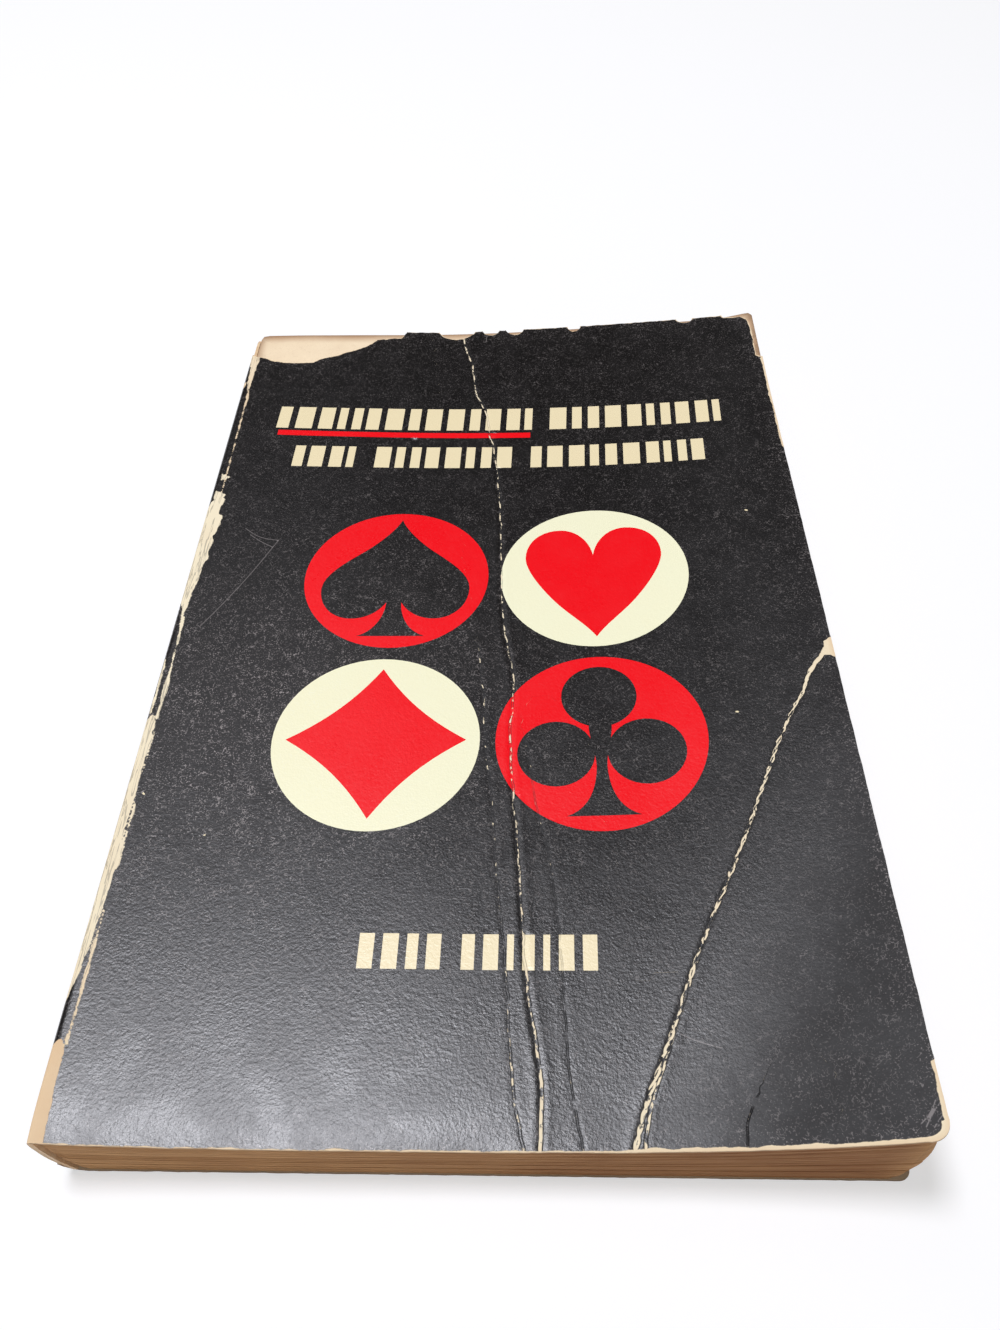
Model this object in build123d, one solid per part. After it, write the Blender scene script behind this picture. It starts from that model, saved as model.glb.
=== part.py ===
"""Worn paperback book, closed, lying on its back cover with the front cover up.

X runs from the spine to the fore edge, Y from the tail to the head, Z up.
The origin is on the table, under the middle of the book.
"""
import os

from build123d import *

# Whole book
book_width = 105.5
book_height = 165.0
spine_thickness = 12.4  # over both covers, measured at the folds

# Cover card
cover_thickness = 0.35
cover_clearance = 0.3  # air between a closed cover and the leaves
tail_corner_radius = 2.2
corner_cut_share = 0.28  # how deep the rounding goes at the corner's middle
corner_out_share = 0.08
back_corner_radius = 1.4

# Spine, bowed a little between the two folds and rolled by reading
spine_bulge = 0.6
spine_lean = 1.6  # the lower fold lies this far in from the upper one
glue_thickness = 0.6
glue_line = 0.05

# Block of leaves
leaf_inset = 0.1
leaf_corner_radius = 1.2
binding_width = 7.0  # leaves pressed tight by the glue
leaf_gap_width = 0.16
leaf_gap_depth = 0.5
leaf_gap_shares = (0.09, 0.21, 0.3, 0.46, 0.58, 0.71, 0.86)

# Warp of the upper side: drops and lifts from the height at the fold
shoulder_share = 0.14
valley_share = 0.41
slope_share = 0.72
tail_shoulder_drop = 1.3
tail_valley_drop = 1.7
tail_slope_drop = 0.9
tail_corner_lift = 5.2
head_shoulder_drop = 0.1
head_valley_drop = 0.5
head_slope_lift = 0.7
head_corner_lift = 2.6

# Creases pressed into the front cover
crease_width = 0.7
crease_depth = 0.12
# Each crease as points across the width and up the height
crease_shares = (
    (
        (0.42, 1.0), (0.446, 0.92), (0.484, 0.795), (0.507, 0.68),
        (0.525, 0.464), (0.54, 0.282), (0.56, 0.105), (0.572, 0.0),
    ),
    ((0.982, 0.42), (0.916, 0.362), (0.834, 0.2455), (0.761, 0.1455), (0.677, 0.0)),
    ((0.486, 0.41), (0.509, 0.257), (0.535, 0.111), (0.549, 0.0)),
    ((0.563, 0.319), (0.586, 0.239), (0.604, 0.123), (0.62, 0.0)),
)

# Losses from the front cover, across the width and up the height
torn_corner_shares = (
    (-0.02, 0.9485), (0.025, 0.9465), (0.053, 0.9375), (0.085, 0.9335), (0.129, 0.9345),
    (0.139, 0.9405), (0.176, 0.9505), (0.229, 0.968), (0.249, 0.983), (0.297, 0.987), (0.324, 1.02),
)
worn_corner_shares = (
    (0.929, 1.02), (0.944, 0.994), (0.975, 0.989), (0.987, 0.98),
    (0.991, 0.96), (0.99, 0.905), (1.03, 0.885),
)
# Bites from the head edge: first end, second end, depth
head_bite_shares = (
    (0.364, 0.457, 0.018),
    (0.458, 0.5, 0.0095),
    (0.507, 0.548, 0.011),
    (0.637, 0.657, 0.0105),
    (0.849, 0.886, 0.009),
)

# Loss from the head of the spine cover by the front fold, up the height and up the spine
spine_loss_shares = ((1.01, 0.30), (0.985, 0.42), (0.972, 0.62), (0.968, 0.85), (0.955, 1.1))

half_width = book_width / 2
half_height = book_height / 2
leaf_bottom = cover_thickness + cover_clearance
leaf_height = spine_thickness - 2 * leaf_bottom
leaf_top = leaf_bottom + leaf_height
cut_height = 2 * (spine_thickness + tail_corner_lift + head_corner_lift)

# The spine's section is an arc through both folds, and its crown is the book's left side
spine_chord = (leaf_height**2 + spine_lean**2) ** 0.5
spine_radius = (spine_chord**2 / 4 + spine_bulge**2) / (2 * spine_bulge)
chord_offset = spine_radius - spine_bulge
centre_in = spine_lean / 2 + chord_offset * leaf_height / spine_chord
centre_up = spine_thickness / 2 + chord_offset * spine_lean / spine_chord
spine_centre = (spine_radius - half_width, centre_up)
fold_x = spine_centre[0] - centre_in
back_fold_x = fold_x + spine_lean
cover_width = half_width - fold_x
glue_radius = spine_radius - cover_thickness - glue_line
leaf_radius = glue_radius - glue_thickness - glue_line

station_shares = (0, shoulder_share, valley_share, slope_share, 1)
tail_rises = (0, -tail_shoulder_drop, -tail_valley_drop, -tail_slope_drop, tail_corner_lift)
head_rises = (0, -head_shoulder_drop, -head_valley_drop, head_slope_lift, head_corner_lift)
tail_plane = Plane.XZ.offset(half_height)
head_plane = Plane.XZ.offset(-half_height)


def across(share):
    return fold_x + share * cover_width


def along(share):
    return share * book_height - half_height


def warp_line(base, share, rises):
    """Line across the book at one end, at a height from the fold and a share of the warp."""
    return Spline(*[(across(s), base + share * rise) for s, rise in zip(station_shares, rises)])


def warped_sheet(low, low_share, high, high_share):
    """Solid between two warped surfaces, from the tail to the head."""
    ends = []
    for plane, rises in ((tail_plane, tail_rises), (head_plane, head_rises)):
        under = warp_line(low, low_share, rises)
        over = warp_line(high, high_share, rises)
        sides = [Line(under @ 1, over @ 1), Line(under @ 0, over @ 0)]
        ends.append(plane * make_face([under, over] + sides))
    return loft(ends, ruled=True)


def upright(face):
    """Plan outline carried up through the whole book."""
    return extrude(face, cut_height / 2, both=True)


def plan(x0, x1, y0, y1):
    return Pos((x0 + x1) / 2, (y0 + y1) / 2) * Rectangle(x1 - x0, y1 - y0)


def round_fore_corners(face, radius):
    return fillet(face.vertices().group_by(Axis.X)[-1], radius)


def spine_solid(section):
    """Section of the spine carried from the tail to the head."""
    return extrude(tail_plane * Pos(*spine_centre) * section, -book_height)


def spine_shell(outer, thickness):
    ring = Circle(outer) - Circle(outer - thickness)
    return spine_solid(ring & Pos(-outer / 2, 0) * Rectangle(outer, 2 * outer)) & leaf_space


def torn_face(points):
    """Area outside a ragged tear, closed through the corner that the tear cuts off."""
    first, last = points[0], points[-1]
    corner = (first[0], last[1]) if abs(first[0]) > abs(last[0]) else (last[0], first[1])
    return make_face(Polyline(*points, corner, close=True))


def corner_loss(x, y, radius):
    """Area cut from the fore edge's corner at the tail to round it."""
    out = corner_out_share * radius
    cut = corner_cut_share * radius
    ends = [(x + out, y + radius), (x - radius, y - out)]
    corner = (x + out, y - out)
    arc = ThreePointArc(ends[0], (x - cut, y + cut), ends[1])
    return make_face([arc, Line(ends[1], corner), Line(corner, ends[0])])


def bite(ends, deepest):
    return make_face([ThreePointArc(ends[0], deepest, ends[1]), Line(ends[1], ends[0])])


# Room between the two covers, which the leaves and the spine fill
leaf_space = warped_sheet(leaf_bottom, 0, leaf_top, 1)
bulge_centre = Pos(fold_x - spine_bulge / 2, 0, spine_thickness / 2)
leaf_space += bulge_centre * Box(spine_bulge, book_height, leaf_height)

# Block of leaves: rounded back, trimmed edges, partings between bundles of leaves
leaf_end = half_width - leaf_inset
leaf_side = half_height - leaf_inset
leaf_start = -half_width - spine_bulge
leaf_plan = round_fore_corners(plan(leaf_start, leaf_end, -leaf_side, leaf_side), leaf_corner_radius)
rounded_back = spine_solid(Circle(leaf_radius) + Pos(book_width / 2, 0) * Rectangle(book_width, cut_height))
page_block = leaf_space & rounded_back & upright(leaf_plan)
held_plan = plan(-half_width, across(0) + binding_width, -half_height, half_height)
inner_plan = plan(
    -half_width, leaf_end - leaf_gap_depth, leaf_gap_depth - leaf_side, leaf_side - leaf_gap_depth
)
held_leaves = upright(held_plan + inner_plan)
for share in leaf_gap_shares:
    level = leaf_bottom + share * leaf_height
    page_block -= warped_sheet(level, share, level + leaf_gap_width, share) - held_leaves

# Glue over the back of the leaves, and the card of the spine with its head end broken away
spine_glue = spine_shell(glue_radius, glue_thickness)
spine_cover = spine_shell(spine_radius, cover_thickness)
spine_loss = torn_face([(along(y), leaf_bottom + z * leaf_height) for y, z in spine_loss_shares])
spine_cover -= extrude(Plane.YZ * spine_loss, book_width, both=True)

# Front cover: a warped sheet with a torn corner, bites from its head edge and pressed creases
front_losses = corner_loss(half_width, -half_height, tail_corner_radius)
for torn in (torn_corner_shares, worn_corner_shares):
    front_losses += torn_face([(across(x), along(y)) for x, y in torn])
for start, end, depth in head_bite_shares:
    drop = depth * book_height
    ends = [(across(s), half_height + drop) for s in (start, end)]
    front_losses += bite(ends, (across((start + end) / 2), half_height - drop))
front_under = spine_thickness - cover_thickness
front_cover = warped_sheet(front_under, 1, spine_thickness, 1) - upright(front_losses)
crease_skin = warped_sheet(spine_thickness - crease_depth, 1, spine_thickness + crease_depth, 1)
for crease in crease_shares:
    left = Spline(*[(across(x) - crease_width / 2, along(y)) for x, y in crease])
    right = Spline(*[(across(x) + crease_width / 2, along(y)) for x, y in crease])
    band = make_face([left, right, Line(left @ 0, right @ 0), Line(left @ 1, right @ 1)])
    front_cover -= crease_skin & upright(band)

# Back cover, flat on the table
back_plan = round_fore_corners(plan(back_fold_x, half_width, -half_height, half_height), back_corner_radius)
back_cover = extrude(back_plan, cover_thickness)

os.makedirs("parts", exist_ok=True)
export_step(page_block, "parts/page_block.step")
export_step(spine_glue, "parts/spine_glue.step")
export_step(spine_cover, "parts/spine_cover.step")
export_step(front_cover, "parts/front_cover.step")
export_step(back_cover, "parts/back_cover.step")
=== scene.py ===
import math

import bmesh
import bpy
import numpy as np
from mathutils import Matrix, Vector, noise
from mathutils.bvhtree import BVHTree
from mathutils.geometry import delaunay_2d_cdt
from mathutils.kdtree import KDTree


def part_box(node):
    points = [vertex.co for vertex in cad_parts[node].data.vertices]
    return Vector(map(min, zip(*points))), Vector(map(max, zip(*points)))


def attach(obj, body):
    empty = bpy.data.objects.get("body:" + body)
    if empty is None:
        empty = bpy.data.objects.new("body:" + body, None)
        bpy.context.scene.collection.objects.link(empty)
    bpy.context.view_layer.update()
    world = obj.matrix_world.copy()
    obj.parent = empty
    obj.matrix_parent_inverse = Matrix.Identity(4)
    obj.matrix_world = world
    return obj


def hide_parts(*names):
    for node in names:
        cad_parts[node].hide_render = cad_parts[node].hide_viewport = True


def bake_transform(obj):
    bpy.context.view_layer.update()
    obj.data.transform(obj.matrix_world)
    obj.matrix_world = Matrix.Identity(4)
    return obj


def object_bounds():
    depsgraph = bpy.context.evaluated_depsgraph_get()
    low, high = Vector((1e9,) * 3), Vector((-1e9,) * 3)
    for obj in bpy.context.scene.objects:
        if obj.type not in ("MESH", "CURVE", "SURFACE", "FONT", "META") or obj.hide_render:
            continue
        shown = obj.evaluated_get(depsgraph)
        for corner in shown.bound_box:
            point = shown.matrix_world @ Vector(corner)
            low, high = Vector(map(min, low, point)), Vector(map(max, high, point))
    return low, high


# A worn paperback, closed, front cover up. X runs from the spine to the fore edge, Y from the
# tail to the head. Shapes are worked out in millimetres and become metres with their meshes.

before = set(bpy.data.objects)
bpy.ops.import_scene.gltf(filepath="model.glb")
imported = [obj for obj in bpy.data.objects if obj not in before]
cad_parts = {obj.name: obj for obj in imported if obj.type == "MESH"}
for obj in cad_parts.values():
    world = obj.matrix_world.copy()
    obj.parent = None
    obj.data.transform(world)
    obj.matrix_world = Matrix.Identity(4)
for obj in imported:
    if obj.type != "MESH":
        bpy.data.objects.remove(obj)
cad_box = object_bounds()
MM = 1000.0


def node_box(name):
    low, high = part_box(name)
    return np.array(low) * MM, np.array(high) * MM


# Sizes, read off the solids
front_low = node_box("front_cover")[0]
back_low, back_high = node_box("back_cover")
spine_low, spine_high = node_box("spine_cover")
block_low, block_high = node_box("page_block")
card = back_high[2] - back_low[2]
fold_x, back_fold_x, fore_x, half_height = front_low[0], back_low[0], back_high[0], back_high[1]
cover_width = fore_x - fold_x
leaf_z = block_low[2]
leaf_height = spine_high[2] - spine_low[2]
cover_z = spine_high[2] + leaf_z

# Sizes that the boxes of the solids don't give
seam = 2.6  # the wrap is cut along the spine, this far above the lower fold
tail_corner = 2.2  # radius of the front cover's corner at the tail
back_corner = 1.4  # radius of the back cover's fore corners
leaf_corner = 1.2  # radius of the leaves' trimmed corners


def solid_tree(name):
    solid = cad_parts[name].data
    return BVHTree.FromPolygons([v.co for v in solid.vertices], [p.vertices for p in solid.polygons])


def read_spine():
    """Centre and radius of the spine's arc, and its turns at the lower and the upper fold."""
    tree = solid_tree("spine_cover")
    zs = np.linspace(leaf_z + 0.3, leaf_z + leaf_height - 0.3, 25)
    xs = np.array([tree.ray_cast(Vector((-200.0, 0, z)) / MM, Vector((1, 0, 0)))[0].x * MM for z in zs])
    rows = np.stack([2 * xs, 2 * zs, np.ones(len(xs))], 1)
    cx, cz, rest = np.linalg.lstsq(rows, xs**2 + zs**2, rcond=None)[0]
    radius = math.sqrt(rest + cx**2 + cz**2)
    return cx, cz, radius, math.asin((leaf_z - cz) / radius), math.asin((spine_high[2] - cz) / radius)


spine_x, spine_z, spine_radius, lower_turn, upper_turn = read_spine()
spine_arc = spine_radius * (upper_turn - lower_turn)
back_radius = spine_x - block_low[0]


def natural_cubic(xs, ys):
    steps = np.diff(xs)
    rows = np.eye(len(xs))
    pulls = np.zeros(len(xs))
    for i in range(1, len(xs) - 1):
        rows[i, i - 1:i + 2] = steps[i - 1], 2 * (steps[i - 1] + steps[i]), steps[i]
        pulls[i] = 6 * ((ys[i + 1] - ys[i]) / steps[i] - (ys[i] - ys[i - 1]) / steps[i - 1])
    bends = np.linalg.solve(rows, pulls)

    def at(x):
        i = np.clip(np.searchsorted(xs, x) - 1, 0, len(xs) - 2)
        h, a, b = steps[i], xs[i + 1] - x, x - xs[i]
        curve = (bends[i] * a**3 + bends[i + 1] * b**3) / (6 * h)
        return curve + (ys[i] / h - bends[i] * h / 6) * a + (ys[i + 1] / h - bends[i + 1] * h / 6) * b

    return at


def read_warp():
    """Rise of the top leaf above its height at the fold, read off the solid, with the head corner's curl."""
    tree = solid_tree("page_block")
    xs = np.linspace(fold_x + 2.5, fore_x - 1.2, 16)
    reach = half_height - 5.0
    curl_height, curl_width, curl_length = 1.1, 7.75, 32.0
    ends = []
    for y in (-reach, reach):
        tops = [tree.ray_cast(Vector((x, y, 100.0)) / MM, Vector((0, 0, -1)))[0].z * MM for x in xs]
        rises = [0.0] + [top - spine_high[2] for top in tops]
        ends.append(natural_cubic(np.array([fold_x, *xs]), np.array(rises)))

    def warp(x, y):
        share = (y + reach) / (2 * reach)
        x = np.clip(x, fold_x, fore_x)
        curl = np.clip(1 - (fore_x - x) / curl_width, 0, 1)
        curl = curl * np.clip(1 - (half_height - y) / curl_length, 0, 1)
        return (1 - share) * ends[0](x) + share * ends[1](x) + curl_height * curl**1.3

    return warp


warp = read_warp()


# Drawing in the flat
def across(share):
    return share * cover_width


def along(share):
    return share * 2 * half_height - half_height


def fine(points, step, closed=False):
    """The same line with a point at least every step."""
    points = [np.array(p, float) for p in points]
    pairs = zip(points, points[1:] + points[:1]) if closed else zip(points, points[1:])
    line = []
    for a, b in pairs:
        n = max(1, math.ceil(np.linalg.norm(b - a) / step))
        line += [a + (b - a) * i / n for i in range(n)]
    return np.array(line if closed else line + [points[-1]])


def flowing(points, step):
    """Smooth line through the points."""
    points = np.array(points, float)
    run = np.concatenate([[0], np.cumsum(np.linalg.norm(np.diff(points, axis=0), axis=1))])
    s = np.linspace(0, run[-1], max(2, int(run[-1] / step)))
    return np.stack([natural_cubic(run, points[:, 0])(s), natural_cubic(run, points[:, 1])(s)], 1)


def waves(points, size, seed):
    """Soft noise over flat points."""
    return np.array([noise.noise(Vector((a / size, b / size, seed))) for a, b in points])


def leftward(ahead):
    """Unit directions to the left of these."""
    left = np.stack([-ahead[:, 1], ahead[:, 0]], 1)
    return left / (np.linalg.norm(left, axis=1)[:, None] + 1e-9)


def ragged(line, depth, size, seed):
    """Pushes a line to its left by an uneven amount, and leaves its ends."""
    line = np.array(line, float)
    left = leftward(np.gradient(line, axis=0))
    for i in range(1, len(line) - 1):
        here = Vector((line[i][0] / size, line[i][1] / size, seed))
        line[i] += left[i] * depth * (0.5 + 0.5 * noise.fractal(here, 0.6, 2.0, 3))
    return line


def arc_points(start, middle, end, n):
    """Circle arc through three points."""
    (ax, ay), (bx, by), (cx, cy) = start, middle, end
    d = 2 * (ax * (by - cy) + bx * (cy - ay) + cx * (ay - by))
    sa, sb, sc = ax * ax + ay * ay, bx * bx + by * by, cx * cx + cy * cy
    ox = (sa * (by - cy) + sb * (cy - ay) + sc * (ay - by)) / d
    oy = (sa * (cx - bx) + sb * (ax - cx) + sc * (bx - ax)) / d
    t0, t1, t2 = (math.atan2(y - oy, x - ox) for x, y in (start, middle, end))
    turn = (t2 - t0) % math.tau
    if (t1 - t0) % math.tau > turn:
        turn -= math.tau
    r = math.hypot(ax - ox, ay - oy)
    return [(ox + r * math.cos(t), oy + r * math.sin(t)) for t in np.linspace(t0, t0 + turn, n)]


def bezier(points, n=10):
    """Line from a start point through cubic runs of (handle, handle, end)."""
    line, start = [], np.array(points[0], float)
    for run in points[1:]:
        h0, h1, end = (np.array(p, float) for p in run)
        for t in np.arange(n) / n:
            s = 1 - t
            line.append(start * s**3 + 3 * h0 * s * s * t + 3 * h1 * s * t * t + end * t**3)
        start = end
    return np.array(line + [start])


def inside(points, loop):
    """Which points lie in a closed loop."""
    points, loop = np.asarray(points), np.asarray(loop)
    low, high = loop.min(0), loop.max(0)
    near = np.where(((points >= low) & (points <= high)).all(1))[0]
    held = np.zeros(len(points), bool)
    odd = np.zeros(len(near), bool)
    x, y = points[near, 0], points[near, 1]
    for (ax, ay), (bx, by) in zip(loop, np.roll(loop, -1, 0)):
        if ay != by:
            odd ^= ((ay > y) != (by > y)) & (x < (bx - ax) * (y - ay) / (by - ay) + ax)
    held[near] = odd
    return held


class Nearest:
    """Distance to a line, and which of its points is nearest."""

    def __init__(self, points):
        self.tree = KDTree(len(points))
        for i, p in enumerate(points):
            self.tree.insert((p[0], p[1], 0), i)
        self.tree.balance()

    def __call__(self, points):
        found = [self.tree.find((p[0], p[1], 0)) for p in points]
        return np.array([f[2] for f in found]), np.array([f[1] for f in found])


# The wrap's section
def fold_line(u, lower):
    """Outer line of one half of the wrap. u is 0 at the fold, below it runs away round the spine,
    and above it runs over the rounded shoulder and along the panel."""
    u = np.asarray(u, float)
    way, end = (-1, lower_turn) if lower else (1, upper_turn)
    before, after = (1.6, 2.4) if lower else (0.45, 0.95)  # where the shoulder starts and ends
    handle = 0.62
    panel = np.array([back_fold_x if lower else fold_x, 0 if lower else cover_z])
    turn = end + way * np.minimum(u, -before) / spine_radius
    x = spine_x - spine_radius * np.cos(turn)
    z = spine_z + spine_radius * np.sin(turn)
    first = end - way * before / spine_radius
    a = np.array([spine_x - spine_radius * math.cos(first), spine_z + spine_radius * math.sin(first)])
    d = panel + (after, 0)
    b = a + way * np.array([math.sin(first), math.cos(first)]) * abs(panel[1] - a[1]) * handle
    c = d - (after * handle, 0)
    t = np.clip((u + before) / (before + after), 0, 1)
    s = 1 - t
    bx, bz = (a[i] * s**3 + 3 * b[i] * s * s * t + 3 * c[i] * s * t * t + d[i] * t**3 for i in (0, 1))
    x = np.where(u > -before, np.where(u < after, bx, panel[0] + u), x)
    z = np.where(u > -before, np.where(u < after, bz, panel[1]), z)
    return x, z


def upper_wrap(u, y):
    x, z = fold_line(u, False)
    return np.stack([x, y, z + np.where(x > fold_x, warp(x, y), 0)], 1)


def lower_wrap(u, y):
    x, z = fold_line(u, True)
    return np.stack([x, y, z], 1)


def out_from(surface, u, y):
    """Directions straight out of a wrap's outer face."""
    e = 0.02
    du = surface(u + e, y) - surface(u - e, y)
    dy = surface(u, y + e) - surface(u, y - e)
    normal = np.cross(du, dy)
    normal /= np.linalg.norm(normal, axis=1)[:, None]
    return -normal if surface is lower_wrap else normal


def spine_u(share):
    """Place on the wrap at a share of the spine's height."""
    turn = math.asin((leaf_z + share * leaf_height - spine_z) / spine_radius)
    return spine_radius * (turn - upper_turn)


# Outlines and wear of the front cover

# Shares of the width from the fold and of the height from the tail
torn_corner = [
    (0.3076, 1.0), (0.297, 0.987), (0.249, 0.983), (0.229, 0.968), (0.176, 0.9505), (0.139, 0.9405),
    (0.129, 0.9345), (0.085, 0.9335), (0.053, 0.9375), (0.025, 0.9465), (0.012, 0.9475),
]
worn_corner = [
    (1.0, 0.900), (0.99, 0.905), (0.991, 0.96), (0.987, 0.98), (0.975, 0.989), (0.944, 0.994),
    (0.9405, 1.0),
]
# Bites from the head edge: both ends as shares of the width, the depth as a share of the height
head_bites = [
    (0.849, 0.886, 0.009), (0.637, 0.657, 0.0105), (0.507, 0.548, 0.011), (0.458, 0.5, 0.0095),
    (0.364, 0.457, 0.018),
]

# Creases as places from the fold and up from the middle, with half widths and shares of ink lost
# by height. The faint ones share one mark, and their sides alternate so that it has no jump between
# two of them.
creases = [
    dict(
        mark="main", side=1, depth=0.05,
        line=[(44.4, 82.5), (45.7, 74.9), (47.0, 69.9), (47.5, 65.5), (48.7, 58.5), (49.9, 55.5),
              (51.0, 48.6), (51.7, 44.8), (52.8, 36.5), (53.9, 18.4), (55.4, -6.0), (56.5, -14.0),
              (56.2, -20.0), (56.6, -33.3), (57.4, -43.0), (58.0, -52.5), (59.1, -65.1), (60.5, -75.0),
              (60.3, -82.5)],
        width=[(-82, 0.22), (-74, 0.2), (-68, 0.16), (-45, 0.13), (40, 0.12), (55, 0.13), (82, 0.16)],
        loss=[(-82, 0.8), (-75, 0.66), (-70, 0.45), (-45, 0.42), (36, 0.36), (46, 0.48), (82, 0.56)]),
    dict(
        mark="corner", side=1, depth=0.06,
        line=[(103.9, -12.0), (101.8, -14.5), (99.7, -18.8), (97.3, -22.9), (93.4, -31.1), (87.6, -44.3),
              (80.9, -58.3), (75.9, -70.3), (72.7, -77.8), (71.2, -82.5)],
        width=[(-82, 0.18), (-72, 0.18), (-64, 0.14), (-20, 0.12), (-12, 0.28)],
        loss=[(-82, 0.72), (-70, 0.52), (-60, 0.44), (-24, 0.48), (-17, 0.85), (-12, 1.1)]),
    dict(
        mark="faint", side=1, depth=0.012,
        line=[(50.7, -6.8), (51.9, -16.9), (52.4, -26.0), (53.2, -31.6), (54.1, -41.5), (54.9, -50.0),
              (56.0, -60.5), (56.8, -71.9), (57.5, -77.8), (58.5, -82.5)],
        width=[(-82, 0.13), (-6, 0.09)],
        loss=[(-82, 0.1), (-76, 0.38), (-66, 0.25), (-58, 0.1), (-6, 0.18)]),
    dict(
        mark="faint", side=-1, depth=0.01,
        line=[(58.3, -24.5), (59.2, -29.9), (60.1, -36.7), (61.4, -42.6), (62.6, -51.5), (63.3, -61.0),
              (63.7, -70.1), (64.2, -75.5), (65.4, -82.5)],
        width=[(-82, 0.09), (-24, 0.08)], loss=[(-82, 0.02), (-24, 0.05)]),
    dict(
        mark="faint", side=1, depth=0.03,
        line=[(76.2, -70.6), (74.6, -74.4), (73.6, -77.2), (72.9, -79.5), (72.4, -82.5)],
        width=[(-82, 0.18), (-70, 0.13)], loss=[(-82, 0.6), (-70, 0.4)]),
    dict(
        mark="faint", side=-1, depth=0.01,
        line=[(85.6, -76.7), (84.5, -78.9), (84.1, -80.4), (84.0, -82.5)],
        width=[(-82, 0.08), (-76, 0.07)], loss=[(-82, 0.05), (-76, 0.05)]),
]
# Fine pale lines: a long scratch with two short ones at its end, one by the corner crease, wrinkles
# at the tail corner, and two nicks
pale_lines = [
    [(8.1, 21.5), (11.2, 19.3), (14.4, 18.6)],
    [(9.2, 19.9), (11.4, 18.2), (13.4, 17.0)],
    [(14.4, 18.6), (11.4, 11.5), (7.8, 4.0), (4.5, -2.1)],
    [(77.6, -69.0), (79.8, -70.0), (82.3, -70.8)],
    [(103.0, -80.9), (104.0, -79.5), (104.9, -78.5)],
    [(102.6, -80.5), (103.3, -79.9), (104.5, -78.2)],
    [(103.8, -81.0), (104.5, -80.2), (105.1, -79.6)],
    [(49.7, 80.5), (49.6, 78.3)],
    [(22.6, -59.8), (23.6, -60.5)],
]
pale_specks = [(90.0, -21.2, 0.22), (96.7, 22.0, 0.24), (2.9, -34.5, 0.2), (13.0, -41.0, 0.14)]


def share_line(shares):
    return [(across(x), along(y)) for x, y in shares]


def bite_line(low, high, depth):
    """The part of a bite that lies inside an edge at 0, depth below it."""
    points = arc_points((low, depth), ((low + high) / 2, -depth), (high, depth), 41)
    return [(s, d) for s, d in points if d <= 0]


def front_outline():
    """The front wrap's edge, anticlockwise from the spine's tail, with the wear of each stretch."""
    top, tail, fore = half_height, -half_height, cover_width
    low_u = seam - spine_arc
    corner_end, corner_cut = tail + tail_corner, 0.62
    scuff_end, patch_low, patch_high, wear_start = tail + 9, -12.7, -8.9, 38.0
    torn, worn = share_line(torn_corner), share_line(worn_corner)
    runs = []

    def run(points, depth, size, wear, step=0.45):
        path = ragged(fine(points, step), depth, size, 3.1 * len(runs))
        wide = np.interp(path[:, 0], *wear) if isinstance(wear, tuple) else np.full(len(path), wear)
        runs.append((path, wide))

    tail_wear = ([low_u, 0, 30, 66, 76, 84, fore], [0.25, 0.08, 0.12, 0.16, 0.42, 0.34, 0.6])
    run([(low_u, tail), (fore - tail_corner, tail)], 0.1, 5.0, tail_wear)
    bend = (fore - corner_cut, tail + corner_cut)
    run(arc_points((fore - tail_corner, tail), bend, (fore, corner_end), 12), 0.04, 3.0, 0.75)
    run([(fore, corner_end), (fore, scuff_end)], 0.08, 4.0, 0.42)
    run([(fore, scuff_end), (fore, patch_low)], 0.1, 4.0, -0.12)
    run([(fore, patch_low), (fore, patch_high)], 0.05, 2.0, 0.5, 0.25)
    run([(fore, patch_high), (fore, wear_start)], 0.1, 4.0, -0.12)
    run([(fore, wear_start), worn[0]], 0.1, 4.0, 0.3)
    run(worn, 0.2, 1.6, 0.14, 0.3)
    last = worn[-1]
    for left, right, depth in head_bites:
        bite = [(across(s), top + d * 2 * top) for s, d in bite_line(left, right, depth)][::-1]
        run([last, bite[0]], 0.25, 1.8, 0.06, 0.3)
        run(bite, 0.22, 1.3, 0.1, 0.25)
        last = bite[-1]
    run([last, torn[0]], 0.25, 1.8, 0.06, 0.3)
    run(torn, 0.28, 1.6, 0.07, 0.25)
    broken = [torn[-1], (0.5, along(0.951)), (-0.3, along(0.9595))]
    for up, share in ((0.85, 0.968), (0.62, 0.972), (0.42, 0.985), (0.32, 1.0)):
        broken.append((spine_u(up), along(share)))
    run(broken, 0.2, 1.0, 0.12, 0.3)
    run([broken[-1], (low_u, top)], 0.05, 2.0, 0.3)
    run([(low_u, top), (low_u, tail)], 0.0, 2.0, -1.0, 1.5)
    line = np.concatenate([path[:-1] for path, wide in runs])
    wears = np.concatenate([wide[:-1] for path, wide in runs])
    return np.clip(line, (low_u, tail), (fore, top)), wears


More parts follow.
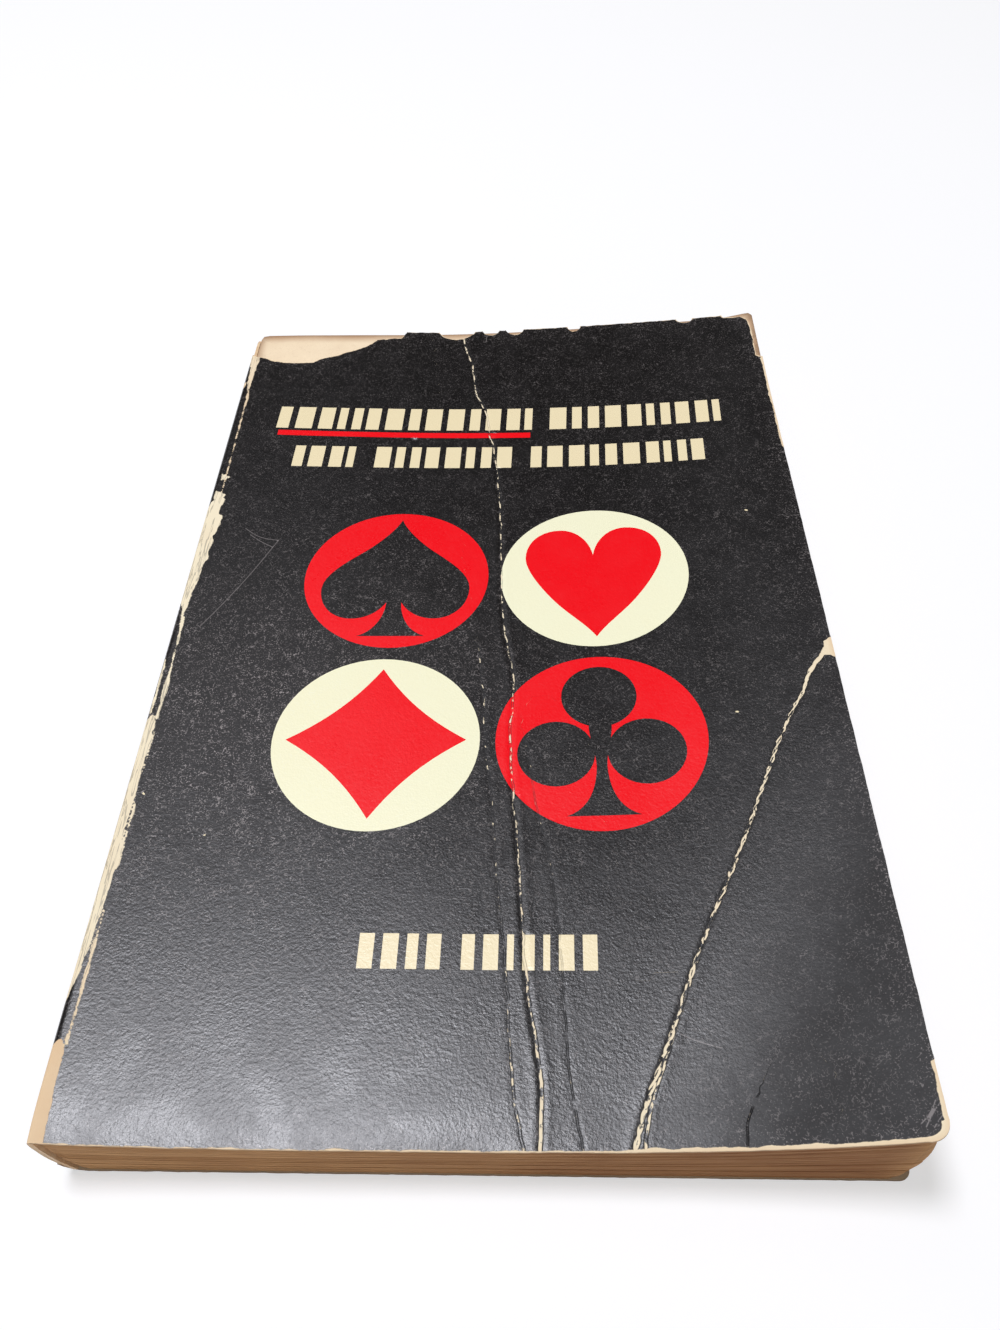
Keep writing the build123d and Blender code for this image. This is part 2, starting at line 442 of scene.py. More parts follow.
def suit_marks():
    """Four card suits in discs: disc outline, disc ink, suit outlines and suit ink."""
    def right_half(runs):
        half = bezier(runs)
        other = (half * (-1, 1))[::-1]
        return np.concatenate([half, other[(np.abs(other[:, 0]) > 1e-6)]])

    heart = right_half([
        (0, 0.30), ((0.03, 0.5), (0.16, 0.70), (0.36, 0.70)),
        ((0.58, 0.70), (0.735, 0.52), (0.735, 0.28)), ((0.735, 0.12), (0.60, -0.13), (0.43, -0.36)),
        ((0.28, -0.56), (0.10, -0.70), (0, -0.87))])
    spade = right_half([
        (0, 0.90), ((0.05, 0.75), (0.20, 0.57), (0.32, 0.45)),
        ((0.46, 0.31), (0.80, 0.08), (0.80, -0.17)), ((0.80, -0.42), (0.64, -0.60), (0.44, -0.60)),
        ((0.27, -0.60), (0.15, -0.50), (0.08, -0.37)), ((0.08, -0.52), (0.15, -0.77), (0.353, -0.84)),
        ((0.2, -0.84), (0.1, -0.84), (0, -0.84))])
    diamond = right_half([
        (0, 0.87), ((0.237, 0.491), (0.491, 0.237), (0.87, 0)),
        ((0.491, -0.237), (0.237, -0.491), (0, -0.87))])
    stem = right_half([
        (0, 0.2), ((0.04, 0.2), (0.11, 0.2), (0.11, 0.15)),
        ((0.11, 0.0), (0.05, -0.15), (0.05, -0.32)), ((0.06, -0.55), (0.13, -0.77), (0.339, -0.84)),
        ((0.2, -0.84), (0.1, -0.84), (0, -0.84))])
    ring = np.array([(math.cos(a), math.sin(a)) for a in np.arange(72) * math.tau / 72])
    ball = ring[::2] * 0.367
    club = [ball + (0, 0.505), ball + (-0.425, -0.155), ball + (0.425, -0.155), stem]
    radius = 15.78
    marks = []
    for centre, disc_ink, suit_ink, suit in (
        ((36.15, 9.6), "red", "black", [spade]), ((69.85, 9.2), "cream", "red", [heart]),
        ((35.75, -24.35), "cream", "red", [diamond]), ((69.65, -24.6), "red", "black", club),
    ):
        marks.append((ring * radius + centre, disc_ink))
        marks += [(loop * radius + centre, suit_ink) for loop in suit]
    return marks


def bar_row(x, y, slope, height, widths, gap):
    """A row of plain upright bars on a sloping base line, a stout and a slim one in each wider place."""
    row, lean = [], np.array([[1, slope], [-slope, 1]])
    for n, width in enumerate(widths):
        if width > 0:
            cuts = ((0, 0.52), (0.7, 1)) if n % 2 else ((0, 0.34), (0.52, 1))
            for left, right in cuts if width > 4 else ((0, 1),):
                low, high = left * width, right * width
                corners = np.array([(low, 0), (high, 0), (high, height), (low, height)]) - (0, height / 2)
                row.append(fine(corners @ lean + (x, y), 2.0, closed=True))
            x, y = x + width + gap, y + (width + gap) * slope
        else:
            x, y = x - width, y - width * slope
    return row


def print_marks():
    """Everything printed on the black, in the order it was laid down, and specks where it has flaked."""
    marks = [(fine([(9.7, 47.9), (59.0, 46.2), (59.0, 47.7), (9.7, 49.4)], 2.0, closed=True), "red")]
    upper_row = (7.0, 5.4, 5.4, 3.4, 6.4, 3.2, 6.0, 5.0, -2.2, 6.2, 6.4, 5.2, 5.4, 4.6)
    middle_row = (5.8, 4.7, -2.8, 5.6, 5.4, 5.6, 5.8, -2.4, 6.0, 5.6, 6.4, 4.6, 4.8)
    lower_row = (2.0, 2.1, 1.5, 1.9, -1.6, 1.7, 2.0, 0.9, 1.6, 0.9, 2.0, 1.9)
    rows = bar_row(9.2, 53.4, -0.031, 6.6, upper_row, 1.2)
    rows += bar_row(13.8, 41.7, -0.026, 6.0, middle_row, 1.2)
    rows += bar_row(36.6, -57.9, -0.01, 4.9, lower_row, 1.12)
    marks += [(loop, "buff") for loop in rows]
    for x, y, size in pale_specks:
        turns = np.arange(7) * math.tau / 7
        wide = size * (1 + 0.35 * np.sin(turns * 2 + x))
        marks.append((np.stack([x + wide * np.cos(turns), y + wide * np.sin(turns)], 1), "buff"))
    return marks + suit_marks()


# Strips of the front fold where the ink has split away, with their browning
peeled = [
    ([(-2.0, 77.5), (1.9, 77.2), (2.2, 72.0), (1.9, 68.0), (1.7, 63.0), (1.3, 61.5), (1.0, 66.0),
      (0.7, 70.0), (-0.2, 72.5), (-2.0, 73.0)], 0.2),
    ([(-2.0, 65.2), (0.6, 64.8), (0.6, 63.2), (-2.0, 63.0)], 0.3),
    ([(1.6, 62.0), (1.78, 62.0), (1.96, 45.0), (2.02, 31.0), (1.82, 31.0), (1.78, 45.0)], 0.35),
    ([(1.0, 36.3), (2.7, 35.3), (1.2, 34.3)], 0.0),
    ([(0.8, 31.4), (3.0, 30.4), (2.2, 29.2), (0.9, 29.0)], 0.0),
    ([(-3.0, 24.0), (-0.5, 26.5), (1.2, 29.2), (2.3, 30.0), (2.9, 29.2), (2.7, 28.0), (2.4, 26.5),
      (2.6, 25.2), (3.5, 24.6), (3.3, 22.0), (2.9, 20.0), (2.4, 19.3), (3.0, 18.4), (2.6, 15.5),
      (2.9, 13.6), (2.2, 12.5), (2.4, 9.0), (1.9, 6.0), (1.5, 1.5), (1.2, -2.5), (0.9, 1.5),
      (0.2, 3.4), (-0.6, 4.6), (-3.0, 6.5)], 0.0),
    ([(1.3, 0.0), (1.75, 0.0), (2.0, -10.0), (2.0, -21.0), (1.55, -21.0), (1.5, -10.0)], 0.0),
    ([(0.3, -9.0), (0.7, -9.0), (0.8, -20.0), (0.3, -20.0)], 0.0),
    ([(-3.0, -23.5), (-0.5, -21.6), (1.2, -20.2), (1.7, -22.0), (1.75, -28.0), (1.7, -34.0),
      (1.75, -40.0), (1.8, -46.0), (1.65, -52.0), (1.35, -57.0), (0.95, -61.5), (0.4, -65.0),
      (-0.6, -67.5), (-3.0, -69.0)], 0.04),
    ([(1.75, -22.0), (2.05, -24.0), (2.0, -31.0), (1.8, -31.0)], 0.05),
    ([(1.95, -36.0), (2.25, -38.0), (2.2, -45.0), (1.95, -47.0), (1.9, -41.0)], 0.05),
    ([(1.8, -53.0), (2.05, -53.0), (2.05, -62.0), (2.05, -71.0), (1.75, -71.0), (1.78, -62.0)], 0.2),
    ([(-6.2, -82.7), (-4.6, -80.0), (-3.0, -76.5), (-1.5, -73.0), (0.0, -71.0), (1.2, -70.4), (1.75, -71.2),
      (1.9, -75.0), (2.0, -79.0), (2.3, -82.7)], 0.52),
]
# Patch at the fore edge where the corner crease starts and the ink has come off
fore_patch = [(105.5, -8.9), (104.3, -9.6), (104.2, -10.6), (103.4, -11.8), (103.8, -12.4), (105.5, -12.6)]


def reach_inside(points, loop):
    """How far each point lies inside a closed loop, negative outside."""
    gap = Nearest(fine(loop, 0.1, closed=True))(points)[0]
    return np.where(inside(points, loop), gap, -gap)


def crease_offsets(points, line):
    """Distance of each point from a crease, positive on its right as it runs to the tail."""
    path = flowing(line, 0.2)
    ahead = np.gradient(path, axis=0)
    ahead /= np.linalg.norm(ahead, axis=1)[:, None]
    at = Nearest(path)(points)[1]
    gap = points - path[at]
    side = (gap * np.stack([-ahead[at, 1], ahead[at, 0]], 1)).sum(1)
    past = np.maximum(np.abs((gap * ahead[at]).sum(1)) - 0.2, 0)
    return np.where(side < 0, -1, 1) * np.hypot(side, past)


def front_wear(points, line, wears):
    """Marks that the finishes read, one value for each point, and the relief that the creases press."""
    u, y = points.T
    gap, at = Nearest(line)(points)
    wide = wears[at] * (1 + 0.5 * waves(points, 4.0, 5.0))
    marks = {
        "rim": np.clip(np.maximum(wide - gap, reach_inside(points, np.array(fore_patch))), -3, 3),
        "tone": np.clip(0.35 - gap / 3, 0.1, 1),
        "rub_and_sheen": 0.16 * np.exp(-gap / 1.5),
    }
    relief = -0.25 * np.exp(-(y + half_height) / 3) * np.clip((62 - u) / 10, 0, 1)
    for crease in creases:
        name, off = crease["mark"], crease["side"] * crease_offsets(points, crease["line"])
        away = np.abs(off)
        nearer = away < np.abs(marks.get(name, np.full(len(points), 1e9)))
        for key, value, unset in (
            ("", np.clip(off, -9, 9), 9.0), ("_width", np.interp(y, *zip(*crease["width"])), 0.1),
            ("_loss", np.interp(y, *zip(*crease["loss"])), -1.0),
        ):
            marks[name + key] = np.where(nearer, value, marks.get(name + key, unset))
        ridge = 0.8 * np.exp(-((away - 0.75) / 0.45) ** 2) - 1.2 * np.exp(-(away / 0.32) ** 2)
        relief += crease["depth"] * ridge
    near = np.where((u < 4.8) & (u > -6.8))[0]
    peel = np.full(len(points), -2.0)
    for loop, brown in peeled:
        reach = np.clip(reach_inside(points[near], np.array(loop)), -2, 2)
        deeper = near[(reach > peel[near]) & (reach > -0.4)]
        peel[near] = np.maximum(peel[near], reach)
        marks["tone"][deeper] = brown
    marks["peel"] = peel
    marks["pale"] = np.minimum.reduce([np.abs(crease_offsets(points, pale)) for pale in pale_lines])
    # Painted sheen: a broad lighter patch on the black, centred left of the middle and towards the tail,
    # added to the rubbing at the rim
    painted_sheen = np.exp(-((u - 18) / 34) ** 2 - ((y + 24) / 30) ** 2)
    marks["rub_and_sheen"] = marks["rub_and_sheen"] + 0.3 * painted_sheen
    flexed = np.clip(crease_offsets(points, creases[1]["line"]) / 17, 0, 1) * np.clip((-10 - y) / 14, 0, 1)
    marks["dull"] = np.maximum(flexed, 0.3 * np.clip((u - 74) / 20, 0, 1))
    return marks, relief


# Meshes
def hex_points(low_u, high_u, low_y, high_y, step):
    points = []
    for j, y in enumerate(np.arange(low_y, high_y, step * 0.866)):
        for u in np.arange(low_u + (j % 2) * step / 2, high_u, step):
            points.append((u, y))
    return points


def triangulate(loops, lines, fill, clear):
    """Triangles over the plane that keep the loops and lines as edges."""
    points, edges = [], []
    for loop in loops:
        n = len(points)
        points += [tuple(p) for p in loop]
        edges += [(n + i, n + (i + 1) % len(loop)) for i in range(len(loop))]
    for line in lines:
        n = len(points)
        points += [tuple(p) for p in line]
        edges += [(n + i, n + i + 1) for i in range(len(line) - 1)]
    gap = Nearest(points)(fill)[0]
    points += [tuple(p) for p, g in zip(fill, gap) if g > clear]
    flat = delaunay_2d_cdt([Vector(p) for p in points], edges, [], 0, 1e-5, False)
    return np.array([tuple(v) for v in flat[0]]), np.array([tuple(f) for f in flat[2]])


def trimmed(flat, faces, line):
    """Only the triangles inside a closed line, and the points that they use."""
    faces = faces[inside(flat[faces].mean(1), line)]
    used, faces = np.unique(faces, return_inverse=True)
    return flat[used], faces.reshape(-1, 3)


def rows_inside(line, offs):
    """Points beside a closed line, in rows at these distances on its left."""
    left = leftward(np.roll(line, -1, 0) - np.roll(line, 1, 0))
    return [tuple(p) for off in offs for p in line + left * off]


def placed(name, data):
    """A finished mesh, lamp or lens, put into the scene."""
    piece = bpy.data.objects.new(name, data)
    bpy.context.scene.collection.objects.link(piece)
    return piece


def sheet_object(name, surface, flat, faces, inks, materials, wear, relief, inner):
    """Card of even thickness over a surface: outer face, inner face and the rim between them."""
    u, y = flat.T
    normal = out_from(surface, u, y)
    low, high = np.array(cad_box) * MM
    outer = np.clip(surface(u, y) + normal * relief[:, None], low, high)
    inner_side = np.clip(outer - normal * card, low, high)
    n = len(flat)
    pairs = dict.fromkeys((f[i], f[(i + 1) % 3]) for f in faces for i in range(3))
    rim = [(a, b) for a, b in pairs if (b, a) not in pairs]
    polygons = [tuple(f) for f in faces] + [(c + n, b + n, a + n) for a, b, c in faces]
    polygons += [(b, a, a + n, b + n) for a, b in rim]
    if surface is lower_wrap:
        polygons = [p[::-1] for p in polygons]
    mesh = bpy.data.meshes.new(name)
    mesh.from_pydata([tuple(p / MM) for p in np.concatenate([outer, inner_side])], [], polygons)
    for material in materials:
        mesh.materials.append(material)
    indices = list(inks) + [inner] * len(faces) + [inner - 1] * len(rim)
    mesh.polygons.foreach_set("material_index", indices)
    mesh.polygons.foreach_set("use_smooth", [True] * (2 * len(faces)) + [False] * len(rim))
    for key, values in wear.items():
        layer = mesh.attributes.new(key, "FLOAT", "POINT")
        layer.data.foreach_set("value", np.concatenate([values, np.zeros(n)]).astype(np.float32))
    sharpen = mesh.attributes.new("sharp_edge", "BOOLEAN", "EDGE")
    rims = {tuple(sorted(p)) for p in rim} | {tuple(sorted((a + n, b + n))) for a, b in rim}
    sharpen.data.foreach_set("value", [tuple(sorted(e.vertices)) in rims for e in mesh.edges])
    mesh.update()
    return placed(name, mesh)


def front_wrap(materials):
    line, wears = front_outline()
    marks = print_marks()
    paths = [flowing(crease["line"], 0.5) for crease in creases]
    paths = [path[inside(path, line)] for path in paths]
    beside = (0.3, 0.65, 1.1)
    fold_end, fold_start = 3.4, -2.8  # points are dense over the fold between these
    fill = hex_points(fold_end, cover_width, -half_height, half_height, 1.15)
    fill += hex_points(fold_start, fold_end, -half_height, half_height, 0.34)
    fill += hex_points(seam - spine_arc, fold_start, -half_height, half_height, 1.2)
    for path in paths:
        side = leftward(np.gradient(path, axis=0))
        for off in beside:
            fill += [tuple(p) for p in np.concatenate([path + side * off, path - side * off])]
    fill += rows_inside(line, beside)
    for pale in pale_lines:
        fill += [tuple(p + (off, 0)) for p in flowing(pale, 0.3) for off in (-0.35, 0, 0.35)]
    flat, faces = triangulate([line] + [loop for loop, ink in marks], paths, np.array(fill), 0.2)
    flat, faces = trimmed(flat, faces, line)
    middles = flat[faces].mean(1)
    inks = np.zeros(len(faces), int)
    for loop, ink in marks:
        inks[inside(middles, loop)] = ("black", "red", "cream", "buff").index(ink)
    wear, relief = front_wear(flat, line, wears)
    relief += 0.07 * waves(flat, 30.0, 1.7) * np.clip(flat[:, 0] / 12, 0, 1)  # slow waves of aged card
    return sheet_object("front_wrap", upper_wrap, flat, faces, inks, materials, wear, relief, 5)


def back_wrap(materials):
    tail, top, fore = -half_height, half_height, fore_x - back_fold_x
    low, straight = 0.03 - seam, fore - back_corner
    cut = back_corner * (1 - math.sqrt(0.5))
    edge = [(low, tail), (straight, tail)]
    edge += arc_points((straight, tail), (fore - cut, tail + cut), (fore, tail + back_corner), 12)[1:]
    edge += arc_points((fore, top - back_corner), (fore - cut, top - cut), (straight, top), 12)
    edge += [(low, top)]
    line = fine(edge + edge[:1], 0.6)
    line = np.clip(ragged(line, 0.12, 2.5, 40.0)[:-1], (low, tail), (fore, top))
    fill = hex_points(2.6, fore, tail, top, 2.2) + hex_points(low, 2.6, tail, top, 0.6)
    fill += rows_inside(line, (0.35, 0.8))
    flat, faces = triangulate([line], [], np.array(fill), 0.25)
    flat, faces = trimmed(flat, faces, line)
    gap = Nearest(line)(flat)[0]
    wave = waves(flat, 9.0, 4.4)
    rim = np.where(flat[:, 0] > 0.5, 0.25 + 0.25 * wave - gap, -2.0)
    fold = 0.35 * wave - np.abs(flat[:, 0] - 1.0)
    wear = {"rim": rim, "peel": fold, "tone": np.full(len(flat), 0.4), "rub_and_sheen": 0.4 * np.exp(-gap / 3),
            "pale": np.full(len(flat), 5.0), "dull": np.full(len(flat), 0.5)}
    plain = np.zeros(len(faces), int)
    return sheet_object("back_wrap", lower_wrap, flat, faces, plain, materials, wear, np.zeros(len(flat)), 2)


# Node trees
class Nodes:
    """A node tree, with short calls for the nodes that shapes and finishes are made of."""

    def __init__(self, tree):
        self.tree = tree

    def feed(self, socket, source):
        if isinstance(source, bpy.types.NodeSocket):
            self.tree.links.new(source, socket)
        else:
            socket.default_value = source

    def add(self, kind, links=(), **settings):
        made = self.tree.nodes.new(kind)
        for key, value in settings.items():
            setattr(made, key, value)
        for socket, source in dict(links).items():
            self.feed(made.inputs[socket], source)
        return made.outputs

    def maths(self, operation, *values, clamp=False):
        return self.add("ShaderNodeMath", dict(enumerate(values)), operation=operation, use_clamp=clamp)[0]

    def plus(self, a, b, clamp=False):
        return self.maths("ADD", a, b, clamp=clamp)

    def minus(self, a, b):
        return self.maths("SUBTRACT", a, b)

    def times(self, a, b):
        return self.maths("MULTIPLY", a, b)

    def over(self, a, b):
        return self.maths("DIVIDE", a, b)

    def larger(self, a, b):
        return self.maths("MAXIMUM", a, b)

    def size_of(self, value):
        return self.maths("ABSOLUTE", value)

    def vectors(self, operation, a, b):
        return self.add("ShaderNodeVectorMath", {0: a, 1: b}, operation=operation)[0]

    def scaled(self, vector, scale):
        return self.add("ShaderNodeVectorMath", {0: vector, "Scale": scale}, operation="SCALE")[0]

    def point(self, **parts):
        return self.add("ShaderNodeCombineXYZ", parts)[0]

    def parts_of(self, vector):
        return self.add("ShaderNodeSeparateXYZ", {0: vector})

    def place(self):
        """Where a spot lies on the object, in millimetres."""
        return self.scaled(self.add("ShaderNodeTexCoord")["Object"], MM)

    def grain(self, where, scale, detail, roughness):
        sizes = {"Vector": where, "Scale": scale, "Detail": detail, "Roughness": roughness}
        return self.add("ShaderNodeTexNoise", sizes)[0]

    def ramp(self, value, low, high, out_low=0.0, out_high=1.0):
        ends = {"Value": value, "From Min": low, "From Max": high, "To Min": out_low, "To Max": out_high}
        return self.add("ShaderNodeMapRange", ends, interpolation_type="SMOOTHSTEP")[0]

    def swing(self, value, size):
        """Noise turned into a swing of this size either way."""
        return self.times(self.minus(value, 0.5), self.times(size, 2.0))

    def mix(self, share, a, b):
        return self.add("ShaderNodeMix", {0: share, 6: a, 7: b}, data_type="RGBA")[2]

    def mark(self, name):
        return self.add("ShaderNodeAttribute", attribute_name=name)["Fac"]

    def use(self, group, inputs):
        return self.add("ShaderNodeGroup", inputs, node_tree=group)

    def bump(self, shader, height, distance, strength):
        made = self.add("ShaderNodeBump", {"Height": height, "Distance": distance, "Strength": strength})
        self.feed(shader["Normal"], made[0])


def node_group(name, kind, inputs, outputs):
    """A new group with these sockets: its nodes, what it is given, and where its results go."""
    tree = bpy.data.node_groups.new(name, kind)
    for way, sockets in (("INPUT", inputs), ("OUTPUT", outputs)):
        for label, holds in sockets.items():
            tree.interface.new_socket(label, in_out=way, socket_type="NodeSocket" + holds)
    n = Nodes(tree)
    return n, n.add("NodeGroupInput"), tree.nodes.new("NodeGroupOutput").inputs


# Leaves, by geometry nodes
def leaf_edge_tree():
    """Trimmed edges of a block of leaves: stacked bundles of leaves, each standing in or out a little."""
    n, given, out = node_group("leaf_edges", "GeometryNodeTree", {
        "Width": "Float", "Length": "Float", "Height": "Float", "Corner Radius": "Float",
        "Points Round": "Int", "Bundles": "Int", "Unevenness": "Float", "Parting Depth": "Float",
        "Parting Share": "Float", "Seed": "Int", "Material": "Material",
    }, {"Geometry": "Geometry"})
    sides = {"Width": given["Width"], "Height": given["Length"]}
    quad = n.add("GeometryNodeCurvePrimitiveQuadrilateral", sides)
    corners = {"Curve": quad[0], "Radius": given["Corner Radius"], "Count": 8}
    rounded = n.add("GeometryNodeFilletCurve", corners, mode="POLY")
    rows = n.times(given["Bundles"], 2.0)
    grid = n.add("GeometryNodeMeshGrid", {
        "Size X": 1.0, "Size Y": 1.0, "Vertices X": given["Points Round"], "Vertices Y": rows})
    spot = n.parts_of(n.add("GeometryNodeInputPosition")[0])
    row = n.maths("ROUND", n.times(n.plus(spot["Y"], 0.5), n.minus(rows, 1.0)))
    bundle = n.maths("FLOOR", n.times(row, 0.5))
    level = n.plus(bundle, n.maths("MODULO", row, 2.0))
    sample = {"Curves": rounded[0], "Factor": n.plus(spot["X"], 0.5)}
    on_line = n.add("GeometryNodeSampleCurve", sample, mode="FACTOR")
    outward = n.vectors("CROSS_PRODUCT", on_line["Tangent"], (0, 0, 1))
    draw = {"ID": bundle, "Seed": given["Seed"]}
    uneven = n.add("FunctionNodeRandomValue", draw, data_type="FLOAT")[1]
    draw = {"Probability": given["Parting Share"], "ID": bundle, "Seed": n.plus(given["Seed"], 7.0)}
    parted = n.add("FunctionNodeRandomValue", draw, data_type="BOOLEAN")[3]
    slow_place = n.vectors("MULTIPLY", on_line["Position"], (60.0, 60.0, 60.0))
    drift = n.add("ShaderNodeTexNoise", {
        "Vector": slow_place, "W": n.times(bundle, 3.7), "Scale": 1.0, "Detail": 2.0,
    }, noise_dimensions="4D")[0]
    wander = n.plus(n.times(uneven, 0.55), n.times(drift, 0.9))
    inset = n.plus(n.times(wander, given["Unevenness"]), n.times(parted, given["Parting Depth"]))
    push = n.scaled(outward, n.times(inset, -1.0))
    lift = n.times(n.over(level, given["Bundles"]), given["Height"])
    raised = n.vectors("ADD", on_line["Position"], n.point(Z=lift))
    stored = {"Geometry": grid[0], "Name": "level", "Value": level}
    named = n.add("GeometryNodeStoreNamedAttribute", stored, data_type="FLOAT", domain="POINT")
    shaped = {"Geometry": named[0], "Position": n.vectors("ADD", raised, push)}
    moved = n.add("GeometryNodeSetPosition", shaped)
    closed = n.add("GeometryNodeMergeByDistance", {"Geometry": moved[0], "Distance": 1e-7})
    real = n.add("GeometryNodeRealizeInstances", {"Geometry": closed[0]})
    dressed = n.add("GeometryNodeSetMaterial", {"Geometry": real[0], "Material": given["Material"]})
    n.feed(out[0], dressed[0])
    return n.tree


def mesh_from_tree(tree, inputs):
    """Runs a geometry tree with these inputs and returns its plain mesh."""
    host = bpy.data.objects.new(tree.name, bpy.data.meshes.new(tree.name))
    modifier = host.modifiers.new(tree.name, "NODES")
    modifier.node_group = tree
    for item in tree.interface.items_tree:
        if item.in_out == "INPUT":
            modifier[item.identifier] = inputs[item.name]
    bpy.context.scene.collection.objects.link(host)
    ready = host.evaluated_get(bpy.context.evaluated_depsgraph_get())
    mesh = bpy.data.meshes.new_from_object(ready)
    bpy.data.objects.remove(host)
    return mesh


def rim_loop(edges):
    """The vertices of a closed ring of edges, in order."""
    nexts = {}
    for e in edges:
        a, b = e.verts
        nexts.setdefault(a, []).append(b)
        nexts.setdefault(b, []).append(a)
    first = edges[0].verts[0]
    loop, last, here = [first], first, nexts[first][0]
    while here is not first:
        loop.append(here)
        last, here = here, next(v for v in nexts[here] if v is not last)
    return loop


def thumbed(x, y, corner, way, radius):
    """Pulls points that stand outside a rounded corner back onto its curve."""
    dx, dy = way[0] * (x - corner[0]) + radius, way[1] * (y - corner[1]) + radius
    far = np.hypot(dx, dy)
    pull = np.where((dx > 0) & (dy > 0) & (far > radius), 1 - radius / np.maximum(far, 0.01), 0)
    return x - way[0] * dx * pull, y - way[1] * dy * pull


def leaf_block(face_material, edge_material):
    reach_x, reach_y = block_high[0], block_high[1]
    start_x, bend_x = fold_x + 1.0, fold_x + 8.0
    mesh = mesh_from_tree(leaf_edge_tree(), {
        "Width": (reach_x - start_x) / MM, "Length": 2 * reach_y / MM, "Height": leaf_height / MM,
        "Corner Radius": leaf_corner / MM, "Points Round": 421, "Bundles": 60, "Unevenness": 0.06 / MM,
        "Parting Depth": 0.12 / MM, "Parting Share": 0.045, "Seed": 5, "Material": edge_material,
    })
    mesh.name = "leaf_block"
    mesh.materials.clear()
    mesh.materials.append(edge_material)
    mesh.materials.append(face_material)
    bm = bmesh.new()
    bm.from_mesh(mesh)
    rims = [e for e in bm.edges if e.is_boundary]
    for top in (0, 1):
        loop = rim_loop([e for e in rims if (e.verts[0].co.z * MM > leaf_height / 2) == bool(top)])
        line = np.array([(v.co.x * MM, v.co.y * MM) for v in loop])
        (low_x, low_y), (high_x, high_y) = line.min(0), line.max(0)
        fill = np.array(hex_points(low_x, high_x, low_y, high_y, 3.5 if top else 8.0))
        fill = fill[inside(fill, line)]
        gap = Nearest(line)(fill)[0]
        points = [tuple(p) for p in line] + [tuple(p) for p in fill[gap > 0.9]]
        edges = [(i, (i + 1) % len(line)) for i in range(len(line))]
        flat = delaunay_2d_cdt([Vector(p) for p in points], edges, [], 0, 1e-6, True)
        spots = np.array([tuple(v) for v in flat[0]])
        faces = np.array([tuple(f) for f in flat[2]])
        verts = {}
        for i, source in enumerate(flat[3]):
            if source and source[0] < len(line):
                verts[i] = loop[source[0]]
            else:
                verts[i] = bm.verts.new((spots[i][0] / MM, spots[i][1] / MM, leaf_height * top / MM))
        for f in faces[inside(spots[faces].mean(1), line)]:
            face = bm.faces.new([verts[i] for i in f])
            face.material_index = 1
            face.smooth = True
    # The bound side leans to the rounded back, and the leaves rise into the warp
    x, y, z = np.array([v.co for v in bm.verts]).T * MM
    x += (reach_x + start_x) / 2
    back = spine_x - np.sqrt(np.maximum(back_radius**2 - (z + leaf_z - spine_z) ** 2, 0))
    x = np.where(x < bend_x, back + (x - start_x) * (bend_x - back) / (bend_x - start_x), x)
    # The tail corner is thumbed rounder towards the top and the bottom leaf
    radius = leaf_corner + 2.0 * ((z / leaf_height - 0.5) / 0.5) ** 2
    x, y = thumbed(x, y, (reach_x, -reach_y), (1, -1), radius)
    # The head corner by the front fold is thumbed round as well
    radius = 0.1 + 2.4 * np.clip(2 * z / leaf_height - 1, 0, 1)
    x, y = thumbed(x, y, (fold_x, reach_y), (-1, 1), radius)
    z = leaf_z + z + z / leaf_height * warp(x, y)
    for v, place in zip(bm.verts, np.stack([x, y, z], 1) / MM):
        v.co = place
    bmesh.ops.recalc_face_normals(bm, faces=bm.faces)
    bm.to_mesh(mesh)
    bm.free()
    return placed("leaf_block", mesh)


def glue_film(material):
    """Dried glue over the back of the leaves, worn round at the head by the front fold."""
    outer_radius = spine_x - node_box("spine_glue")[0][0]
    inner_radius = back_radius + spine_radius - card - outer_radius
    rows, steps = 25, 60
    end_gap, worn_round = 0.05, 3.0
    verts, faces = [], []
    for radius in (outer_radius, inner_radius):
        for z in np.linspace(leaf_z, leaf_z + leaf_height, rows):
            x = spine_x - math.sqrt(radius**2 - (z - spine_z) ** 2)
            worn = max(z - (leaf_z + leaf_height - worn_round), 0)
            end = half_height - end_gap - (worn_round - math.sqrt(worn_round**2 - worn**2))
            verts += [(x / MM, y / MM, z / MM) for y in np.linspace(end_gap - half_height, end, steps)]

    def at(layer, row, step):
        return (layer * rows + row) * steps + step

    for i in range(rows - 1):
        for j in range(steps - 1):
            faces.append((at(0, i, j), at(0, i + 1, j), at(0, i + 1, j + 1), at(0, i, j + 1)))
            faces.append((at(1, i, j), at(1, i, j + 1), at(1, i + 1, j + 1), at(1, i + 1, j)))
        faces.append((at(0, i, 0), at(1, i, 0), at(1, i + 1, 0), at(0, i + 1, 0)))
        last = steps - 1
        faces.append((at(0, i, last), at(0, i + 1, last), at(1, i + 1, last), at(1, i, last)))
    for j in range(steps - 1):
        faces.append((at(0, 0, j), at(0, 0, j + 1), at(1, 0, j + 1), at(1, 0, j)))
        top = rows - 1
        faces.append((at(0, top, j), at(1, top, j), at(1, top, j + 1), at(0, top, j + 1)))
    mesh = bpy.data.meshes.new("glue_film")
    mesh.from_pydata(verts, [], faces)
    mesh.materials.append(material)
    mesh.update()
    return placed("glue_film", mesh)


# Finishes
def ink(red, green, blue):
    """Colour as seen on screen, 0 to 255, as a shader colour."""
    def straight(v):
        v /= 255
        return v / 12.92 if v <= 0.04045 else ((v + 0.055) / 1.055) ** 2.4
    return straight(red), straight(green), straight(blue), 1.0


